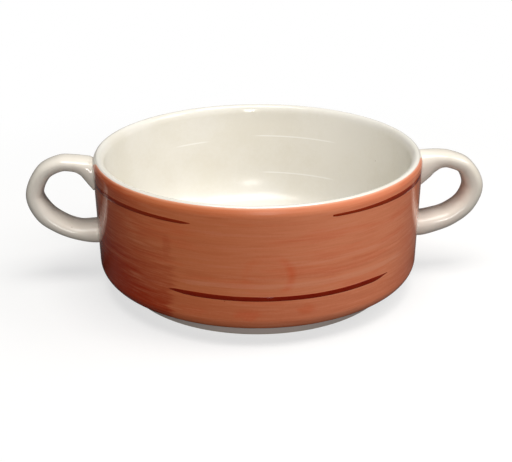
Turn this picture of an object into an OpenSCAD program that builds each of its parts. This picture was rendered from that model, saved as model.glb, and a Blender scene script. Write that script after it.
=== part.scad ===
// Lug soup bowl: a low stacking soup cup in glazed ceramic, with two looped
// lug handles luted to the wall, a terracotta wash band brushed on the
// outside and dark brush strokes laid into the wash.
// All lengths are millimetres and all angles degrees. +Z is up, the origin is
// the middle of the foot's resting plane, and the handles point along -X, +X.

/* [Bowl] */
// Outer radius of the wall just under the lip
rim_r = 54; // [51:0.5:58]
// How much the wall draws in from the lip down to the base corner
wall_taper = 0.5; // [0.1:0.1:1.5]
// Height from the table to the top of the lip
bowl_h = 45; // [43:0.5:55]
// Thickness of the wall under the lip
wall_t = 3.7; // [3:0.1:4.4]
// Thickness of the floor
floor_t = 4.2; // [3:0.1:6]
// Radius of the hollow corner between the wall and the floor
inner_corner_r = 12; // [5:0.5:14]
// Width of the rounded base corner, measured along the radius
corner_w = 5.6; // [4:0.1:6]
// Height of the rounded base corner
corner_h = 4.9; // [3.5:0.1:6]

/* [Lip] */
// Radius of the lip's outer edge
lip_outer_r = 1.7; // [1:0.1:2.2]
// Height of the soft rounding on the inner side of the lip
lip_inner_h = 3; // [1:0.1:5]

/* [Foot] */
// Outer radius of the foot ring
foot_r = 45.4; // [42:0.1:46.5]
// Width of the foot ring
foot_w = 4; // [3.4:0.1:5]
// Height of the foot ring up to the underside of the bowl
foot_h = 4.3; // [3.5:0.1:6]
// Rise of the underside from the foot ring to the base corner
underside_rise = 0.2; // [0:0.1:1]
// Depth of the hollow inside the foot ring
foot_recess = 2.8; // [1.8:0.1:3.4]
// Radius of the foot ring's two lower edges
foot_edge_r = 0.5; // [0.3:0.1:1.3]
// Radius of the fillets where the foot ring meets the bowl
foot_root_r = 0.8; // [0.3:0.1:1.2]

/* [Handles] */
// How far the left handle stands out from the wall
left_reach = 23.2; // [20:0.1:27]
// How far the right handle stands out from the wall
right_reach = 22.4; // [20:0.1:27]
// How far the top of a handle's centre line lies below the top of the lip
crown_drop = 4.6; // [4:0.1:6]
// Height of the centre of a handle's lower end
lower_seat_z = 17; // [16:0.1:19]
// Thickness of a handle at its crown
crown_t = 5.6; // [5:0.1:7]
// Thickness of the left handle at its outermost point
left_bow_t = 6.2; // [5.5:0.1:8]
// Thickness of the right handle at its outermost point
right_bow_t = 7.2; // [5.5:0.1:8]
// Thickness of the left handle along its lower limb
left_limb_t = 7.2; // [6.5:0.1:9]
// Thickness of the right handle along its lower limb
right_limb_t = 7.9; // [6.5:0.1:9]
// Width of a handle, measured round the bowl
handle_w = 9.4; // [8:0.1:11]
// Height of the left handle's upper end on the wall
left_root_h = 10; // [9:0.1:11.2]
// Height of the right handle's upper end on the wall
right_root_h = 11.2; // [9:0.1:11.6]
// Height of a handle's lower end on the wall
lower_root_h = 9.4; // [8:0.1:10.5]
// Width of both ends of a handle on the wall
root_w = 10.6; // [9:0.1:12]
// How far above its drawn place the left handle was stuck on
left_handle_lift = 0.2; // [-0.5:0.1:0.5]
// How far above its drawn place the right handle was stuck on
right_handle_lift = -0.2; // [-0.5:0.1:0.5]
// Thickness of the luting slip between the wall and a handle's end
slip_t = 0.4; // [0.2:0.1:1]

/* [Colour coats] */
// Thickness of the wash and of the brush strokes
coat_t = 0.2; // [0.1:0.05:0.3]
// Angle on the lip's outer edge, above the horizontal, where the wash stops
wash_top_angle = 73; // [40:1:85]
// Angle on the base corner, below the horizontal, where the wash stops
wash_bottom_angle = 72; // [30:1:85]
// Height of the two lower brush strokes
lower_stroke_z = 16.4; // [13:0.1:25]
// Width of the two lower brush strokes
lower_stroke_w = 1.55; // [1:0.05:2.5]
// Angle from the front at which the lower strokes start
lower_start_angle = -30; // [-40:1:-15]
// Angle from the front at which the lower strokes end
lower_end_angle = 44; // [20:1:50]
// How far the left stroke's middle line lies below the top of the lip
left_stroke_drop = 6; // [5:0.1:9]
// Width of the brush stroke under the lip on the left
left_stroke_w = 1.25; // [1:0.05:2]
// Angle from the front at which the left stroke's two tips lie
left_tip_angle = -24.6; // [-50:0.1:-15]
// How far the right stroke's middle line lies below the top of the lip
right_stroke_drop = 4.2; // [3.5:0.1:7]
// Width of the brush stroke under the lip on the right
right_stroke_w = 1.3; // [1:0.05:2]
// Angle from the front at which the right stroke's two tips lie
right_tip_angle = 21.9; // [15:0.1:50]
// Length over which a brush stroke tapers to its tip
stroke_taper = 14; // [6:0.5:18]

/* [Hidden] */

$fn = 240;

// One overrun serves every cut and block that has to pass a surface
overrun = 2;

// Steps of a rounded edge, and of the short stretches beyond the wash
arc_steps = 10;
edge_steps = 3;

// Sides of a handle's section, and rings in each stretch between two stations
section_sides = 24;
rings_per_stretch = 5;

LEFT = -1;
RIGHT = 1;

inner_r = rim_r - wall_t;
base_r = rim_r - wall_taper;
floor_z = foot_recess + floor_t;
corner_r0 = base_r - corner_w;
corner_z0 = foot_h + underside_rise;
corner_z1 = corner_z0 + corner_h;
lip_z = bowl_h - lip_outer_r;
lip_inner_w = wall_t - lip_outer_r;
foot_inner_r = foot_r - foot_w;
loop_rise = bowl_h - crown_drop - lower_seat_z;

// Stations of a handle's centre line, from the upper end round to the lower:
// distance from the wall as a share of the centre line's reach, and height as
// a share of the rise from the lower end to the crown
loop_shares = [
    [0, 0.88], [0.22, 0.97], [0.5, 1], [0.85, 0.87], [1, 0.57],
    [0.88, 0.31], [0.63, 0.135], [0.315, 0.03], [0, 0]
];

// Shares by which the sections between the named ones mix their neighbours
neck_share = 0.2;
shoulder_share = 0.2;
knee_share = 0.7;
waist_share = 0.15;

// Points of an elliptical arc in the section plane, from angle a0 to a1
function arc(centre, w, h, a0, a1, steps) = [
    for (i = [0:steps])
        let (a = a0 + (a1 - a0) * i / steps)
        centre + [w * cos(a), h * sin(a)]
];

function reversed(list) = [for (i = [len(list) - 1:-1:0]) list[i]];

// Outer face of the bowl between the wash's two edges, drawn in by an inset
// that leaves room for the coats
function coated_face(inset) = concat(
    arc([corner_r0, corner_z1], corner_w - inset, corner_h - inset,
        -wash_bottom_angle, 0, arc_steps),
    arc([rim_r - lip_outer_r, lip_z], lip_outer_r - inset, lip_outer_r - inset,
        0, wash_top_angle, arc_steps)
);

// Underside from the middle, round the foot ring, to where the wash starts
function foot_face() = concat(
    [[0, foot_recess]],
    arc([foot_inner_r - foot_root_r, foot_recess - foot_root_r],
        foot_root_r, foot_root_r, 90, 0, arc_steps),
    arc([foot_inner_r + foot_edge_r, foot_edge_r], foot_edge_r, foot_edge_r,
        180, 270, arc_steps),
    arc([foot_r - foot_edge_r, foot_edge_r], foot_edge_r, foot_edge_r,
        -90, 0, arc_steps),
    arc([foot_r + foot_root_r, foot_h - foot_root_r],
        foot_root_r, foot_root_r, 180, 90, arc_steps),
    arc([corner_r0, corner_z1], corner_w, corner_h, -90, -wash_bottom_angle, edge_steps)
);

// Lip from where the wash stops, over the top, down the wall to the floor
function inner_face() = concat(
    arc([rim_r - lip_outer_r, lip_z], lip_outer_r, lip_outer_r,
        wash_top_angle, 90, edge_steps),
    arc([inner_r + lip_inner_w, bowl_h - lip_inner_h], lip_inner_w, lip_inner_h,
        90, 180, arc_steps),
    arc([inner_r - inner_corner_r, floor_z + inner_corner_r],
        inner_corner_r, inner_corner_r, 0, -90, arc_steps),
    [[0, floor_z]]
);

// Solid of the bowl's outside, drawn in by the coats, that trims what is
// stuck to the wall
module wall_core() {
    rotate_extrude()
        polygon(concat(
            [[0, foot_h]],
            coated_face(coat_t),
            [[0, bowl_h]]
        ));
}

module coat_ring() {
    rotate_extrude()
        polygon(concat(coated_face(0), reversed(coated_face(coat_t))));
}

// Handle
function lift(side) = side == LEFT ? left_handle_lift : right_handle_lift;
function bow_t(side) = side == LEFT ? left_bow_t : right_bow_t;
function limb_t(side) = side == LEFT ? left_limb_t : right_limb_t;
function root_h(side) = side == LEFT ? left_root_h : right_root_h;
function reach(side) = side == LEFT ? left_reach : right_reach;
function mix(a, b, share) = a + (b - a) * share;
function unit(v) = v / norm(v);

// Sections at the stations: thickness in the handle's plane, and width
function station_sizes(side) = [
    [root_h(side), root_w],
    [mix(crown_t, root_h(side), neck_share), mix(handle_w, root_w, neck_share)],
    [crown_t, handle_w],
    [mix(crown_t, bow_t(side), shoulder_share), handle_w],
    [bow_t(side), handle_w],
    [mix(bow_t(side), limb_t(side), knee_share), handle_w],
    [limb_t(side), handle_w],
    [mix(limb_t(side), lower_root_h, waist_share), mix(handle_w, root_w, waist_share)],
    [lower_root_h, root_w]
];

function stations(side) =
    let (
        root_x = rim_r + slip_t,
        out = reach(side) - slip_t - bow_t(side) / 2,
        sizes = station_sizes(side)
    )
    [
        for (i = [0:len(loop_shares) - 1])
            [
                root_x + out * loop_shares[i][0],
                lower_seat_z + lift(side) + loop_rise * loop_shares[i][1],
                sizes[i][0], sizes[i][1]
            ]
    ];

// A station past each end mirrors its neighbour across the wall, so that the
// centre line leaves the wall square
function beyond(end, next) = [2 * end[0] - next[0], next[1], next[2], next[3]];

function with_ends(s) = concat(
    [beyond(s[0], s[1])], s, [beyond(s[len(s) - 1], s[len(s) - 2])]
);

// Smooth curve through four stations, and its direction
function curve(p, i, u) = 0.5 * (
    2 * p[i] + (p[i + 1] - p[i - 1]) * u
    + (2 * p[i - 1] - 5 * p[i] + 4 * p[i + 1] - p[i + 2]) * u * u
    + (3 * p[i] - p[i - 1] - 3 * p[i + 1] + p[i + 2]) * u * u * u
);
function heading(p, i, u) =
    let (
        d = (p[i + 1] - p[i - 1])
            + 2 * (2 * p[i - 1] - 5 * p[i] + 4 * p[i + 1] - p[i + 2]) * u
            + 3 * (3 * p[i] - p[i - 1] - 3 * p[i + 1] + p[i + 2]) * u * u
    )
    unit([d[0], d[1]]);

// Direction of a section: level at the wall, and square to the centre line
// from one station away, so that no section tips back into the wall
function facing(p, i, u) =
    let (
        from_upper = i - 1 + u,
        from_lower = len(p) - 3 - from_upper,
        level = [from_upper < from_lower ? 1 : -1, 0]
    )
    unit(mix(level, heading(p, i, u), min(1, from_upper, from_lower)));

// One ring of points: an oval square to the centre line
function oval(at, dir) = [
    for (k = [0:section_sides - 1])
        let (
            a = 360 * k / section_sides,
            out = at[2] / 2 * cos(a)
        )
        [at[0] - dir[1] * out, at[3] / 2 * sin(a), at[1] + dir[0] * out]
];

function handle_rings(side) =
    let (
        p = with_ends(stations(side)),
        last = len(p) - 2
    )
    concat(
        [
            for (i = [1:last - 1], j = [0:rings_per_stretch - 1])
                let (u = j / rings_per_stretch)
                oval(curve(p, i, u), facing(p, i, u))
        ],
        [oval(p[last], [-1, 0])]
    );

module loop_handle(side) {
    rings = handle_rings(side);
    count = len(rings);
    n = section_sides;
    points = [for (ring = rings) each ring];
    walls = [
        for (i = [0:count - 2], k = [0:n - 1])
            let (a = i * n + k, b = i * n + (k + 1) % n)
            each [[a, a + n, b], [b, a + n, b + n]]
    ];
    caps = [
        [for (k = [0:n - 1]) k],
        [for (k = [n - 1:-1:0]) (count - 1) * n + k]
    ];
    // The list of points runs on the right-hand side, so the left is mirrored
    mirror([side == LEFT ? 1 : 0, 0, 0])
        polyhedron(points, concat(walls, caps));
}

// Block along X with the outline of a handle's end, from inside the wall out
// to the end itself
module root_block(side, end) {
    rings = handle_rings(side);
    ring = end == "upper" ? rings[0] : rings[len(rings) - 1];
    depth = wall_t / 2 + slip_t;
    mirror([side == LEFT ? 1 : 0, 0, 0])
        translate([rim_r + slip_t - depth, 0, 0])
            rotate([90, 0, 90])
                linear_extrude(depth)
                    polygon([for (p = ring) [p[1], p[2]]]);
}

module slip_joint(side, end) {
    difference() {
        root_block(side, end);
        wall_core();
    }
}

// Brush strokes: flat tapered blocks that cross the coat from outside

// Pointed outline along X between two tips, w wide and centred on z = 0
module brush_outline(x0, x1, w, taper0, taper1) {
    polygon([
        [x0, 0], [x0 + taper0, w / 2], [x1 - taper1, w / 2],
        [x1, 0], [x1 - taper1, -w / 2], [x0 + taper0, -w / 2]
    ]);
}

module lower_stroke_block() {
    translate([0, 0, lower_stroke_z])
        rotate([90, 0, 0])
            linear_extrude(rim_r + overrun)
                brush_outline(
                    rim_r * sin(lower_start_angle), rim_r * sin(lower_end_angle),
                    lower_stroke_w, stroke_taper, stroke_taper
                );
}

// A stroke under the lip runs round one side of the bowl, behind the handle
module lip_stroke_block(side, drop, w, tip_angle) {
    translate([0, rim_r + overrun, bowl_h - drop])
        rotate([90, 0, 0])
            linear_extrude(2 * (rim_r + overrun))
                mirror([side == LEFT ? 1 : 0, 0, 0])
                    brush_outline(
                        rim_r * sin(abs(tip_angle)), rim_r + 2 * overrun,
                        w, stroke_taper, overrun
                    );
}

module left_lip_block() {
    lip_stroke_block(LEFT, left_stroke_drop, left_stroke_w, left_tip_angle);
}

module right_lip_block() {
    lip_stroke_block(RIGHT, right_stroke_drop, right_stroke_w, right_tip_angle);
}

module root_blocks() {
    for (side = [LEFT, RIGHT], end = ["upper", "lower"]) root_block(side, end);
}

module bowl_body() {
    color([0.95, 0.94, 0.91])
        rotate_extrude()
            polygon(concat(foot_face(), coated_face(coat_t), inner_face()));
}

module left_handle() { color([0.94, 0.92, 0.89]) loop_handle(LEFT); }
module right_handle() { color([0.94, 0.92, 0.89]) loop_handle(RIGHT); }

module left_upper_slip_joint() { color([0.9, 0.88, 0.84]) slip_joint(LEFT, "upper"); }
module left_lower_slip_joint() { color([0.9, 0.88, 0.84]) slip_joint(LEFT, "lower"); }
module right_upper_slip_joint() { color([0.9, 0.88, 0.84]) slip_joint(RIGHT, "upper"); }
module right_lower_slip_joint() { color([0.9, 0.88, 0.84]) slip_joint(RIGHT, "lower"); }

module wash_band() {
    color([0.72, 0.4, 0.27])
        difference() {
            coat_ring();
            lower_stroke_block();
            rotate(180) lower_stroke_block();
            left_lip_block();
            right_lip_block();
            root_blocks();
        }
}

module front_stroke() {
    color([0.4, 0.13, 0.06])
        intersection() {
            coat_ring();
            lower_stroke_block();
        }
}

module back_stroke() { rotate(180) front_stroke(); }

module left_lip_stroke() {
    color([0.4, 0.13, 0.06])
        difference() {
            intersection() {
                coat_ring();
                left_lip_block();
            }
            root_blocks();
        }
}

module right_lip_stroke() {
    color([0.4, 0.13, 0.06])
        difference() {
            intersection() {
                coat_ring();
                right_lip_block();
            }
            root_blocks();
        }
}

bowl_body();
left_handle();
right_handle();
left_upper_slip_joint();
left_lower_slip_joint();
right_upper_slip_joint();
right_lower_slip_joint();
wash_band();
front_stroke();
back_stroke();
left_lip_stroke();
right_lip_stroke();
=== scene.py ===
"""Looks of a lug soup bowl: white glaze, a terracotta wash and dark brush strokes.

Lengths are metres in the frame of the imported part: +Z up, the handles along -X and
+X, and the front stroke towards -Y. Each class keeps its sizes as fields, builds its
own meshes and dresses them with a finish. The finishes take places in millimetres and
azimuths in degrees.
"""

from __future__ import annotations

import logging
import math
from dataclasses import dataclass
from enum import Enum
from typing import Any, NamedTuple, Sequence

import bmesh
import bpy
from bpy.types import ID, Material, Mesh, Node, NodeSocket, NodeTree, Object
from mathutils import Matrix, Vector


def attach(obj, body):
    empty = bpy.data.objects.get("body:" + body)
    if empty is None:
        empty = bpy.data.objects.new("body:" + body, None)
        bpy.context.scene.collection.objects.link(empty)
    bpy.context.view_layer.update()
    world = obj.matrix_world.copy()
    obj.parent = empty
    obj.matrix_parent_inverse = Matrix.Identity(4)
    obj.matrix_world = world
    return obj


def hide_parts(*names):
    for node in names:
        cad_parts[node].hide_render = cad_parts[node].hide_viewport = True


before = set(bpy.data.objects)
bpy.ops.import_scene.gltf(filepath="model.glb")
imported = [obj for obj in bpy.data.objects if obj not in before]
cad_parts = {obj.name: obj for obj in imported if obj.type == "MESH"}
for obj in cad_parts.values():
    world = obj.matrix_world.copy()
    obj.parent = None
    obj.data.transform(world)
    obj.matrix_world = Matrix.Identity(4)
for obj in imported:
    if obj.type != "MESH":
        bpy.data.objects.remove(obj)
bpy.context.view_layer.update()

logging.basicConfig(level=logging.INFO, format="%(message)s")
LOG = logging.getLogger("lug_soup_bowl")

# A millimetre in metres, and a radian in degrees
MM = 0.001
DEGREES = 180 / math.pi

# Points this near each other are merged, first in a skin and then in the whole mesh,
# and edges this short are dissolved
WELD = 0.001 * MM
DOUBLES = 0.002 * MM
SLIVERS = 0.0005 * MM

ROOT = "root"

Point = tuple[float, float]
Place = tuple[float, float, float]
Span = tuple[float, float]
Triple = tuple[float, float, float]
Colour = tuple[float, float, float, float]
Key = int | str
Values = dict[Key, Any]


class Side(Enum):
    """The two sides of the bowl that carry a handle."""

    LEFT = -1
    RIGHT = 1


def colour(*screen: float) -> Colour:
    """Turns a colour of the screen into the linear one of a shader.

    Args:
        *screen: Red, green and blue, from 0 to 255.

    Returns:
        The linear colour with full opacity.
    """
    parts = [part / 255 for part in screen]
    bent = [p / 12.92 if p <= 0.04045 else ((p + 0.055) / 1.055) ** 2.4 for p in parts]
    return (*bent, 1.0)


def mix(low: float, high: float, share: float) -> float:
    """Returns the number that lies at a share of the way between two others."""
    return low + (high - low) * share


def eased(value: float) -> float:
    """Returns a share between 0 and 1 with its ends eased in and out."""
    value = min(1.0, max(0.0, value))
    return value * value * (3 - 2 * value)


# Nodes


class Book:
    """One node tree, with the one method that adds nodes of any type to it."""

    def __init__(self, tree: NodeTree) -> None:
        """Keeps the tree that the nodes go into."""
        self.tree = tree

    def node(self, kind: str, values: Values | None = None, **settings: Any) -> Node:
        """Adds a node, sets it up and feeds its sockets.

        Args:
            kind: The node's type.
            values: What each input socket gets, by name or number: a value or a link.
            **settings: Its properties, which are set first.

        Returns:
            The new node.
        """
        made = self.tree.nodes.new(kind)
        for name, value in settings.items():
            setattr(made, name, value)
        for key, value in (values or {}).items():
            source = value.socket if isinstance(value, Number) else value
            if isinstance(source, NodeSocket):
                self.tree.links.new(source, made.inputs[key])
            else:
                made.inputs[key].default_value = source
        return made

    def socket(
        self, kind: str, values: Values | None = None, output: Key = 0, **settings: Any
    ) -> NodeSocket:
        """Adds a node and returns one of its output sockets."""
        return self.node(kind, values, **settings).outputs[output]

    def number(
        self, kind: str, values: Values | None = None, output: Key = 0, **settings: Any
    ) -> Number:
        """Adds a node and returns one of its outputs, ready for sums."""
        return Number(self, self.socket(kind, values, output, **settings))

    def maths(self, operation: str, *given: Any) -> Number:
        """Adds a Math node, which takes the given numbers in their order."""
        return self.number("ShaderNodeMath", dict(enumerate(given)), operation=operation)

    def vector(self, x: Any, y: Any, z: Any) -> NodeSocket:
        """Joins three numbers into a vector."""
        return self.socket("ShaderNodeCombineXYZ", {0: x, 1: y, 2: z})

    def parts(self, vector: NodeSocket) -> list[Number]:
        """Splits a vector into its three numbers."""
        split = self.node("ShaderNodeSeparateXYZ", {0: vector})
        return [Number(self, part) for part in split.outputs]

    def blend(self, share: Any, first: Any, second: Any) -> NodeSocket:
        """Mixes two colours; the share, from 0 to 1, is how much of the second shows."""
        return self.socket("ShaderNodeMix", {0: share, 6: first, 7: second}, 2, data_type="RGBA")


class Number:
    """A number socket whose sums add Math nodes to its tree."""

    def __init__(self, book: Book, socket: NodeSocket) -> None:
        """Wraps an output socket of the book's tree."""
        self.book = book
        self.socket = socket

    def __add__(self, other: Any) -> Number:
        """Returns the sum."""
        return self.book.maths("ADD", self, other)

    __radd__ = __add__

    def __sub__(self, other: Any) -> Number:
        """Returns the difference."""
        return self.book.maths("SUBTRACT", self, other)

    def __rsub__(self, other: Any) -> Number:
        """Returns the difference from the other number."""
        return self.book.maths("SUBTRACT", other, self)

    def __mul__(self, other: Any) -> Number:
        """Returns the product."""
        return self.book.maths("MULTIPLY", self, other)

    __rmul__ = __mul__

    def __truediv__(self, other: Any) -> Number:
        """Returns the quotient."""
        return self.book.maths("DIVIDE", self, other)

    def __rtruediv__(self, other: Any) -> Number:
        """Returns the quotient with the other number on top."""
        return self.book.maths("DIVIDE", other, self)

    def __neg__(self) -> Number:
        """Returns the number with its sign changed."""
        return self * -1.0

    def __abs__(self) -> Number:
        """Returns the number without its sign."""
        return self.book.maths("ABSOLUTE", self)

    def centred(self) -> Number:
        """Returns a noise moved from the middle of its range to 0."""
        return self - 0.5

    def power(self, exponent: float) -> Number:
        """Returns the number raised to a power."""
        return self.book.maths("POWER", self, exponent)

    def signed_power(self, exponent: float) -> Number:
        """Returns the number's size raised to a power, with its own sign."""
        return self.book.maths("SIGN", self) * abs(self).power(exponent)

    def angle_from(self, other: Any) -> Number:
        """Returns the angle, in degrees, whose sine and cosine go as self and other."""
        return self.book.maths("ARCTAN2", self, other) * DEGREES

    def ramp(self, start: Any, end: Any, low: float = 0.0, high: float = 1.0) -> Number:
        """Eases from low to high while the number goes from start to end, up or down."""
        return self.book.number(
            "ShaderNodeMapRange",
            {"Value": self, "From Min": start, "From Max": end, "To Min": low, "To Max": high},
            interpolation_type="SMOOTHSTEP",
            clamp=True,
        )


# Meshes


def arc(
    centre: Point, size: Point, start: float, end: float, steps: int, fullness: float = 1.0
) -> list[Point]:
    """Lists the points of a rounded arc in the plane of radius and height.

    Args:
        centre: The ellipse's middle.
        size: Its half sizes along the radius and the height.
        start: The first angle in degrees, from the outward direction upwards.
        end: The last angle.
        steps: How many stretches the arc is cut into.
        fullness: 1 for an ellipse, less for a rounding that starts more gently.

    Returns:
        The points, ends included.
    """
    made = []
    for i in range(steps + 1):
        turn = math.radians(mix(start, end, i / steps))
        out, up = (
            math.copysign(abs(share) ** fullness, share)
            for share in (math.cos(turn), math.sin(turn))
        )
        made.append((centre[0] + size[0] * out, centre[1] + size[1] * up))
    return made


def straight(start: Point, end: Point, steps: int) -> list[Point]:
    """Lists the points between two ends of a straight stretch, without the ends."""
    shares = [i / steps for i in range(1, steps)]
    return [(mix(start[0], end[0], share), mix(start[1], end[1], share)) for share in shares]


def shown(name: str, data: ID) -> Object:
    """Returns a new object, linked to the scene, that shows a mesh, lamp or camera."""
    bpy.context.scene.collection.objects.link(made := bpy.data.objects.new(name, data))
    return made


def finished(mesh: Mesh, finish: Material) -> None:
    """Merges a mesh's doubles, turns its faces outwards and gives it its material.

    Args:
        mesh: The mesh to change.
        finish: Its only material.
    """
    work = bmesh.new()
    work.from_mesh(mesh)
    bmesh.ops.remove_doubles(work, verts=work.verts, dist=DOUBLES)
    bmesh.ops.dissolve_degenerate(work, edges=work.edges, dist=SLIVERS)
    bmesh.ops.recalc_face_normals(work, faces=work.faces)
    for face in work.faces:
        face.smooth = True
    work.to_mesh(mesh)
    work.free()
    mesh.materials.clear()
    mesh.materials.append(finish)


def lofted(
    name: str, sections: Sequence[Sequence[Place]], finish: Material, endless: bool = False
) -> Object:
    """Makes a closed piece from sections, which are loops with equally many points.

    Args:
        name: The piece's name.
        sections: The sections in their order.
        finish: Its material.
        endless: Whether the last section joins the first; otherwise both are capped.

    Returns:
        The piece.
    """
    count = len(sections[0])
    starts = [count * i for i in range(len(sections))]
    faces: list[tuple[int, ...]] = [
        (a + k, a + (k + 1) % count, b + (k + 1) % count, b + k)
        for a, b in zip(starts, [*starts[1:], starts[0]] if endless else starts[1:])
        for k in range(count)
    ]
    if not endless:
        faces.append(tuple(range(count)))
        faces.append(tuple(starts[-1] + k for k in reversed(range(count))))
    mesh = bpy.data.meshes.new(name)
    mesh.from_pydata([place for section in sections for place in section], [], faces)
    finished(mesh, finish)
    return shown(name, mesh)


def seated(piece: Object, node: str) -> Object:
    """Puts a finished piece on the root body in the place of a node.

    Args:
        piece: The piece.
        node: The node of the part that it dresses.

    Returns:
        The same piece.
    """
    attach(piece, ROOT)
    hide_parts(node)
    return piece


class SkinTree(Book):
    """A Geometry Nodes group that makes a skin over a list of rings.

    Each vertex of the object's own mesh stands for one ring. The skin is a grid whose
    rows are the rings, bent round and welded where it meets itself.
    """

    def __init__(self, name: str) -> None:
        """Starts the group with its named inputs and its grid.

        Args:
            name: The group's name.
        """
        super().__init__(bpy.data.node_groups.new(name, "GeometryNodeTree"))
        for label, way, kind in (
            ("Rings", "INPUT", "Geometry"),
            ("Steps Round", "INPUT", "Int"),
            ("Weld Distance", "INPUT", "Float"),
            ("Finish", "INPUT", "Material"),
            ("Skin", "OUTPUT", "Geometry"),
        ):
            self.tree.interface.new_socket(label, in_out=way, socket_type=f"NodeSocket{kind}")
        self.given = self.node("NodeGroupInput")
        count = self.number(
            "GeometryNodeAttributeDomainSize",
            {"Geometry": self.given.outputs["Rings"]},
            "Point Count",
            component="MESH",
        )
        columns = Number(self, self.given.outputs["Steps Round"]) + 1
        self.grid = self.socket(
            "GeometryNodeMeshGrid",
            {"Size X": 1.0, "Size Y": 1.0, "Vertices X": columns, "Vertices Y": count},
        )
        across, along, _ = self.parts(self.socket("GeometryNodeInputPosition"))
        self.turn = (across + 0.5) * math.tau
        self.ring = self.maths("ROUND", (along + 0.5) * (count - 1))

    def waves(self) -> tuple[Number, Number]:
        """Returns the cosine and the sine of the angle round a ring."""
        return self.maths("COSINE", self.turn), self.maths("SINE", self.turn)

    def of_ring(self, value: NodeSocket, kind: str) -> NodeSocket:
        """Reads a field at the vertex that stands for a grid point's ring."""
        values = {"Geometry": self.given.outputs["Rings"], "Value": value, "Index": self.ring}
        return self.socket("GeometryNodeSampleIndex", values, data_type=kind, clamp=True)

    def course(self) -> list[Number]:
        """Reads the place of a grid point's ring."""
        return self.parts(self.of_ring(self.socket("GeometryNodeInputPosition"), "FLOAT_VECTOR"))

    def attribute(self, name: str, kind: str) -> NodeSocket:
        """Reads a named attribute of a grid point's ring."""
        named = self.socket("GeometryNodeInputNamedAttribute", {"Name": name}, data_type=kind)
        return self.of_ring(named, kind)

    def close(self, place: NodeSocket) -> NodeTree:
        """Moves the grid into place, welds it and gives it its finish.

        Args:
            place: The place of each grid point.

        Returns:
            The finished group.
        """
        given = self.given.outputs
        link = self.socket("GeometryNodeSetPosition", {"Geometry": self.grid, "Position": place})
        for kind, values in (
            ("GeometryNodeMergeByDistance", {"Distance": given["Weld Distance"]}),
            ("GeometryNodeSetShadeSmooth", {}),
            ("GeometryNodeRealizeInstances", {}),
            ("GeometryNodeSetMaterial", {"Material": given["Finish"]}),
        ):
            link = self.socket(kind, {0: link, **values})
        self.node("NodeGroupOutput", {0: link})
        return self.tree


def wheel_tree() -> NodeTree:
    """Builds the group that turns an outline round the axis.

    Returns:
        The group, whose rings lie at the outline's radius and height.
    """
    tree = SkinTree("turned_on_the_wheel")
    radius, _, height = tree.course()
    cosine, sine = tree.waves()
    return tree.close(tree.vector(radius * cosine, radius * sine, height))


def loop_tree(fullness: float = 0.82) -> NodeTree:
    """Builds the group that sweeps a full oval along a path in the plane of X and Z.

    Args:
        fullness: 1 for a plain oval, less for a fuller one.

    Returns:
        The group, whose rings carry the way they face and their half sizes.
    """
    tree = SkinTree("pulled_loop")
    x, y, z = tree.course()
    facing_x, _, facing_z = tree.parts(tree.attribute("facing", "FLOAT_VECTOR"))
    cosine, sine = tree.waves()
    out = cosine.signed_power(fullness) * tree.attribute("half_thickness", "FLOAT")
    across = sine.signed_power(fullness) * tree.attribute("half_width", "FLOAT")
    return tree.close(tree.vector(x - out * facing_z, y + across, z + out * facing_x))


def skinned(
    name: str,
    group: NodeTree,
    places: Sequence[Place],
    steps_round: int,
    finish: Material,
    **layers: Sequence[Sequence[float]],
) -> Object:
    """Runs a skin group over a list of rings and keeps the result as a plain mesh.

    Args:
        name: The piece's name.
        group: The group that makes the skin.
        places: The place of each ring.
        steps_round: How many faces go round a ring.
        finish: The piece's material.
        **layers: What else the group reads of each ring: one number or a vector.

    Returns:
        The finished object, with no modifier left on it.
    """
    rings = bpy.data.meshes.new(name)
    rings.from_pydata(places, [], [])
    for label, values in layers.items():
        kind, key = ("FLOAT", "value") if len(values[0]) == 1 else ("FLOAT_VECTOR", "vector")
        layer = rings.attributes.new(label, kind, "POINT")
        layer.data.foreach_set(key, [part for value in values for part in value])
    made = shown(name, rings)
    modifier = made.modifiers.new("skin", "NODES")
    modifier.node_group = group
    given = {"Steps Round": steps_round, "Weld Distance": WELD, "Finish": finish}
    for item in group.interface.items_tree:
        if item.in_out == "INPUT" and item.name in given:
            modifier[item.identifier] = given[item.name]
    graph = bpy.context.evaluated_depsgraph_get()
    plain = bpy.data.meshes.new_from_object(made.evaluated_get(graph))
    made.modifiers.clear()
    made.data = plain
    plain.name = name
    finished(plain, finish)
    return made


# Finishes


class Grain(NamedTuple):
    """A noise that is alike all ways: its features to a millimetre, and its finer detail."""

    scale: float
    detail: float = 2.0
    roughness: float = 0.5


class Streaks(NamedTuple):
    """A noise drawn out round the bowl: its features to a millimetre along it and up it."""

    along: float
    up: float
    detail: float = 2.0
    roughness: float = 0.5


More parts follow.
